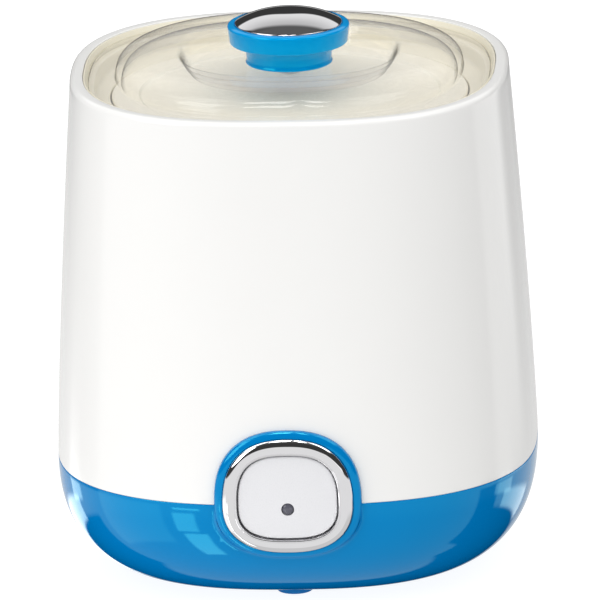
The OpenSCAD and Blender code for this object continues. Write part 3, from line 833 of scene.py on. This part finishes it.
def make_lens(material):
    lo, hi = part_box("indicator_lens")
    r = (hi.x - lo.x) / 2
    depth = hi.y - lo.y
    dome = 1.5 * MM
    steps = 12
    corners = [(0, 0, 0, 2), (r, 0, 0.2 * MM, 2), (r, depth - dome, 0, 2)]
    profile = section(corners, 6, closed=False)
    for k in range(1, steps + 1):
        a = math.pi / 2 * k / steps
        profile.append((r * math.cos(a), depth - dome + dome * math.sin(a), 2))
    obj = upright("indicator_lens_skin", profile, count=64, closed=False)
    centre_z = (lo.z + hi.z) / 2
    obj.data.transform(Matrix.Translation((0, hi.y, centre_z)) @ Matrix.Rotation(math.pi / 2, 4, "X"))
    finish_piece(obj, "button", ["indicator_lens"], material, angle=60)


def make_spring(material):
    lo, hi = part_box("button_spring")
    wire = 0.35 * MM
    length = hi.y - lo.y
    radius = (hi.x - lo.x) / 2 - wire
    centre_z = (lo.z + hi.z) / 2
    obj = coil("button_spring_wire", (0, lo.y, centre_z), (0, 1, 0), length, radius, wire, 6)
    finish_piece(obj, "root", ["button_spring"], material)
    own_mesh(obj)


# ---------------------------------------------------------------- jar

def make_jar(material):
    """Jar with a dished bottom and a neck for its cap."""
    lo, hi = JAR_BOX
    r = hi.x
    wall = 2.4 * MM
    neck = r - 1.6 * MM
    neck_z = 172 * MM
    bottom = lo.z + 1.2 * MM
    corners = [
        (0, bottom, 0, 2),
        (r - 12 * MM, bottom, 1 * MM, 2),
        (r - 13 * MM, lo.z, 0.5 * MM, 2),
        (r, lo.z, 6 * MM, 2),
        (r, neck_z - 1.5 * MM, 1 * MM, 2),
        (neck, neck_z, 0.4 * MM, 2),
        (neck, hi.z, 1.1 * MM, 2),
        (neck - wall, hi.z, 1.1 * MM, 2),
        (neck - wall, neck_z - 2 * MM, 2 * MM, 2),
        (r - wall, neck_z - 4 * MM, 2 * MM, 2),
        (r - wall, lo.z + wall, 7 * MM, 2),
        (0, lo.z + wall + 1 * MM, 0, 2),
    ]
    obj = upright("jar_skin", section(corners, 8, closed=False), count=192, closed=False)
    finish_piece(obj, "jar_body", ["jar"], material)


def make_jar_cap(material):
    """Cap with a brim at its top and thirty grip ridges round its skirt."""
    lo, hi = CAP_BOX
    count = 360
    ridge, ridges = 1 * MM, 30
    valley = 0.35                       # cosine below which there is no ridge
    inner = 62.8 * MM
    r = inner + 4 * MM
    brim = hi.x
    brim_low = hi.z - 2.2 * MM
    under = JAR_BOX[1].z + 2 * MM
    sunk = hi.z - 0.8 * MM
    corners = [
        (0, under, 0, 2),
        (inner, under, 0.8 * MM, 2),
        (inner, lo.z, 0.3 * MM, 2),
        (r, lo.z, 0.3 * MM, 2),
        (r, lo.z + 1.6 * MM, 0, 2),
        (r, brim_low - 0.4 * MM, 0, 2),
        (r, brim_low, 0.2 * MM, 2),
        (brim, brim_low, 0.3 * MM, 2),
        (brim, hi.z, 0.9 * MM, 2),
        (r - 7 * MM, hi.z, 0.6 * MM, 2),
        (r - 8 * MM, sunk, 0.6 * MM, 2),
        (0, sunk, 0, 2),
    ]
    angles = np.linspace(0, 2 * math.pi, count, endpoint=False)
    grip = np.clip(np.cos(ridges * angles) - valley, 0, 1) / (1 - valley)
    circle = superellipse(2, count)
    rings = []
    for h, z, _ in section(corners, 6, closed=False):
        on_skirt = abs(h - r) < 0.01 * MM and lo.z + 1 * MM < z < hi.z - 2 * MM
        radius = h + (ridge * grip if on_skirt else 0)
        rings.append(np.column_stack([circle * np.reshape(radius, (-1, 1)), np.full(count, z)]))
    obj = skin("jar_cap_skin", rings, closed=False)
    finish_piece(obj, "cap_body", ["jar_cap"], material)


# ---------------------------------------------------------------- lid and knob

RECESS_N = 2.4                      # squareness of the lid's recess
DOME_N = 2.35                       # squareness of the dome where it meets the flat rim


def dome_skin(h_in, h_out, z_in, z_out):
    """Rings of the dome between the recess and the flat rim: it falls away slowly, then steeply."""
    steps, start, power = 26, 0.12, 2.6
    rows = []
    for k in range(steps + 1):
        a = math.pi / 2 * (start + (1 - start) * k / steps)
        u, v = math.sin(a) ** (2 / power), max(0.0, math.cos(a)) ** (2 / power)
        n = RECESS_N + (DOME_N - RECESS_N) * u
        rows.append((h_in + (h_out - h_in) * u, z_out + (z_in - z_out) * v, 0, n))
    return rows


def make_lid(material):
    """Clear lid of even thickness: flat rim, dome, and a recess in its top with a hole for the screw."""
    t = 2.3 * MM
    z0, dome_top = LID_BOX[0].z, LID_BOX[1].z
    top = z0 + t
    dome_under = dome_top - t - 0.2 * MM
    recess_z = dome_top - 6 * MM
    screw_hole = 2.6 * MM
    half = LID_BOX[1].x
    dome = half - 10.6 * MM
    recess = 43 * MM
    outer = dome_skin(recess + 0.8 * MM, dome, dome_top, top + 0.8 * MM)
    under = dome_skin(recess + 1 * MM, dome - t, dome_under, z0)
    corners = [
        (screw_hole, recess_z - t, 0, 2),
        (recess - 4.2 * MM, recess_z - t, 2 * MM, RECESS_N),
        (recess - 0.6 * MM, dome_under, 1.6 * MM, RECESS_N),
        *under[:-1],
        (dome - t, z0, 0.3 * MM, DOME_N),
        (half, z0, 0.5 * MM, SQUARE),
        (half, top, 0.7 * MM, SQUARE),
        (dome + 0.2 * MM, top, 0.8 * MM, DOME_N),
        *outer[::-1],
        (recess + 0.4 * MM, dome_top, 2.6 * MM, RECESS_N),
        (recess - 2.2 * MM, recess_z, 1.8 * MM, RECESS_N),
        (screw_hole, recess_z, 0, 2),
    ]
    obj = upright("lid_skin", section(corners, 10), count=320)
    finish_piece(obj, "lid_body", ["lid"], material, angle=60)


def make_knob(material):
    """Knob with a screw hole from below, a waisted neck, a ring and a seat for the bright cap."""
    lo, hi = KNOB_BOX
    r = hi.x
    neck = 17.5 * MM
    hole, hole_top = 2 * MM, hi.z - 3 * MM
    rest, rest_z = 8 * MM, lo.z + 0.7 * MM
    ring_z = lo.z + 8.2 * MM
    seat = BRIGHT_BOX[0].z
    inner = BRIGHT_BOX[1].x + 0.2 * MM
    corners = [
        (0, hole_top, 0, 2),
        (hole, hole_top, 0, 2),
        (hole, rest_z, 0, 2),
        (rest, rest_z, 0, 2),
        (rest, lo.z, 0, 2),
        (neck, lo.z, 0.6 * MM, 2),
        (neck - 0.7 * MM, lo.z + 1.8 * MM, 2.5 * MM, 2),
        (neck - 0.3 * MM, lo.z + 4.5 * MM, 5 * MM, 2),
        (neck + 1.2 * MM, ring_z - 0.9 * MM, 2.5 * MM, 2),
        (neck + 2.6 * MM, ring_z, 0.8 * MM, 2),
        (r - 0.8 * MM, ring_z, 0.9 * MM, 2),
        (r, hi.z - 1.1 * MM, 1.6 * MM, 2),
        (r - 1.6 * MM, hi.z - 0.7 * MM, 0.8 * MM, 2),
        (inner, hi.z - 0.6 * MM, 0.4 * MM, 2),
        (inner, seat, 0, 2),
        (0, seat, 0, 2),
    ]
    obj = upright("knob_skin", section(corners, 8, closed=False), count=160, closed=False)
    finish_piece(obj, "lid_body", ["knob"], material)


def make_knob_cap(material):
    """Bright domed cap in the top of the knob."""
    lo, hi = BRIGHT_BOX
    r = hi.x
    rim = hi.z - 5.2 * MM
    top = hi.z - 0.45 * MM
    fall = 2.5                          # power by which the dome falls away from its middle
    corners = [(0, lo.z, 0, 2), (r - 0.3 * MM, lo.z, 0.3 * MM, 2), (r, rim, 0.5 * MM, 2)]
    profile = section([*corners, (r - 1.5 * MM, rim + 0.7 * MM, 0, 2)], 6, closed=False)[:-1]
    for share in np.linspace((r - 0.5 * MM) / r, 0, 40):
        profile.append((r * share, top - (top - rim) * share ** fall, 2))
    obj = upright("knob_cap_skin", profile, count=160, closed=False)
    finish_piece(obj, "lid_body", ["knob_cap"], material, angle=60)


# ---------------------------------------------------------------- stage, lights and camera

# What gloss reflects: azimuth, width, low edge and high edge, softness (all in degrees), power.
# A power below nothing takes light away.
REFLECTIONS = [
    (-54, 34, 13, 46, 2, 4.5),          # key on the left
    (-24, 34, 67, 89, 3, 14),           # two windows overhead in front
    (22, 22, 67, 89, 3, 14),
    (-85, 50, 44, 74, 8, 3),            # softboxes high on both sides
    (85, 50, 44, 74, 8, 3),
    (-34, 13, -60, -37, 1.5, 2.6),      # a window seen in the table's gloss
    (-37, 12, -35, -21, 1.5, 2.2),
    (-35, 14, -19, -16.5, 1, 3),
    (-76, 52, -46, -14, 4, 0.55),       # fill on the left, in the table
    (27, 36, 1, 7, 2, 1.2),             # low box on the right
    (-133, 14, -21, -15, 2, 2.2),       # two strips behind on the left
    (-152, 40, -28, -20, 2, 2.6),
    (120, 20, -21, -15.5, 2, 1.3),      # two strips behind on the right
    (140, 36, -27, -20, 2, 1.5),
    (180, 140, -62, -27, 4, -0.9),      # dark side of the table
    (103, 20, -52, -15, 3, -0.85),      # gap between table and strips
    (-145, 90, -14, -2, 3, -0.95),      # dark wall behind on the left
    (128, 34, -14, -2, 3, 1.0),         # bright edge and dim edge behind on the right
    (165, 30, -14, -2, 3, -0.5),
]
KEY_SIDE = (-0.05, -0.68, 0.73)         # where the brightest part of the soft light is
BACKDROP = 1.1                          # what the camera sees behind the object


def mirrored_light(graph, direction, height):
    """What gloss reflects: a pale table below, the softboxes, a screen high behind and a dim ceiling."""
    table = graph.math(
        "MULTIPLY",
        graph.ramp(height, -0.02, 0.04, 1.0, 0.05),
        graph.ramp(height, -0.5, -0.32, 0.75, 0.95),
    )
    light = table
    for card in REFLECTIONS:
        light = graph.math("ADD", light, graph.card(direction, height, *card))
    behind = graph.ramp(graph.along(direction, (0, 1, 0)), 0.55, 0.66, 0, 1)
    fade = graph.math(
        "MULTIPLY",
        graph.ramp(height, 0.38, 0.43, 0, 1),
        graph.ramp(height, 0.4, 1.1, 0.95, 0.4),
    )
    screen = graph.math("MULTIPLY", behind, fade)
    ceiling = graph.ramp(height, 0.7, 1.0, 0, 0.08)
    light = graph.math("ADD", graph.math("ADD", light, screen), ceiling)
    return graph.math("MAXIMUM", light, 0.0)


def make_world():
    """Soft light from all round, brighter from the front and above; gloss sees the studio's boxes."""
    world = bpy.data.worlds.new("studio")
    bpy.context.scene.world = world
    world.use_nodes = True
    tree = world.node_tree
    tree.nodes.clear()
    graph = Graph(tree)
    direction = tree.nodes.new("ShaderNodeTexCoord").outputs["Generated"]
    height = graph.math("ARCSINE", graph.along(direction, (0, 0, 1)))
    key = graph.ramp(graph.along(direction, KEY_SIDE), -0.6, 1.0, 0.12, 1.55)
    soft = graph.math("ADD", key, graph.ramp(height, 0.3, 1.3, 0, 0.6))
    mirrored = mirrored_light(graph, direction, height)
    path = tree.nodes.new("ShaderNodeLightPath")
    seen = graph.math("MAXIMUM", path.outputs["Is Camera Ray"], path.outputs["Is Transmission Ray"])
    light = graph.mix(path.outputs["Is Glossy Ray"], soft, mirrored)
    light = graph.mix(seen, light, BACKDROP)
    background = tree.nodes.new("ShaderNodeBackground")
    tree.links.new(light, background.inputs["Strength"])
    output = tree.nodes.new("ShaderNodeOutputWorld")
    tree.links.new(background.outputs["Background"], output.inputs["Surface"])


def make_stage():
    """Pale floor, even to the camera; its glow on the object is painted light, weaker under it and to the
    right as painted shade.
    """
    bpy.ops.mesh.primitive_plane_add(size=8, location=(0, 0, 0))
    floor = bpy.context.object
    floor.name = "floor"
    material, tree, shader = new_material("floor_white")
    shader.inputs["Base Color"].default_value = (0.22, 0.22, 0.22, 1)
    shader.inputs["Roughness"].default_value = 0.9
    shader.inputs["Specular IOR Level"].default_value = 0.1
    shader.inputs["Emission Color"].default_value = (1, 1, 1, 1)
    graph = Graph(tree)
    place = tree.nodes.new("ShaderNodeTexCoord").outputs["Object"]
    length = tree.nodes.new("ShaderNodeVectorMath")
    length.operation = "LENGTH"
    tree.links.new(place, length.inputs[0])
    # painted contact shadow: the floor's glow on the object drops to half close under it
    under = graph.ramp(length.outputs["Value"], 0.05, 0.15, 0.5, 1.0)
    # painted shade: the floor's glow on the object falls to a quarter off to its right
    across = graph.ramp(graph.along(place, (1, -0.3, 0)), -0.02, 0.24, 1.0, 0.25)
    painted_floor_glow = graph.math("MULTIPLY", graph.math("MULTIPLY", under, across), 0.95)
    path = tree.nodes.new("ShaderNodeLightPath")
    # the camera sees an even floor; every other ray gets the painted glow with its painted shade
    strength = graph.mix(path.outputs["Is Camera Ray"], painted_floor_glow, 0.92)
    tree.links.new(strength, shader.inputs["Emission Strength"])
    floor.data.materials.append(material)
    floor.visible_glossy = False


def make_camera():
    """Long lens, a little above and to the right of the front, and slightly rolled."""
    elevation, azimuth, roll = (math.radians(a) for a in (15.83, 2.87, 1.405))
    distance = 7.157
    frame_width = 0.2378121             # width of the picture at the target
    target = Vector((0, 0, 100 * MM))
    back = Vector((
        math.sin(azimuth) * math.cos(elevation),
        -math.cos(azimuth) * math.cos(elevation),
        math.sin(elevation),
    ))
    level = Vector((math.cos(azimuth), math.sin(azimuth), 0))
    upward = back.cross(level)
    right = math.cos(roll) * level - math.sin(roll) * upward
    up = math.sin(roll) * level + math.cos(roll) * upward
    aside, lift = 1.864 * MM, 3.193 * MM        # of the picture's centre, right of and above the target
    data = bpy.data.cameras.new("camera")
    data.sensor_width = 36
    data.lens = data.sensor_width * distance / frame_width
    data.clip_end = 60
    obj = bpy.data.objects.new("camera", data)
    bpy.context.scene.collection.objects.link(obj)
    turn = Matrix((right, up, back)).transposed().to_4x4()
    obj.matrix_world = Matrix.Translation(target + back * distance + right * aside + up * lift) @ turn
    bpy.context.scene.camera = obj


# ---------------------------------------------------------------- build

def build():
    """The outside is drawn anew; the pieces inside keep the CAD's meshes and get materials."""
    made = make_materials()
    make_camera()
    make_outer_shell(made["white_shell"])
    make_base_shell(made["blue_base"])
    make_well_liner(made["cream_liner"])
    make_feet(made["blue_foot"])
    make_cord_gland(made["gland_rubber"])
    make_bezel(made["chrome_trim"])
    make_button_face(made["button_silver"])
    make_lens(made["lens_grey"])
    make_spring(made["spring_steel"])
    make_jar(made["jar_milky"])
    make_jar_cap(made["cap_cream"])
    make_lid(made["lid_clear"])
    make_knob(made["knob_blue"])
    make_knob_cap(made["chrome_trim"])
    for part in frame["record"]["subparts"]:
        node = frame["nodes"][part["node"]]
        if not node.hide_render:
            node.data.materials.clear()
            node.data.materials.append(made[part["material_slot"]])
    make_stage()
    make_world()
    bpy.context.scene.view_settings.view_transform = "Standard"


build()
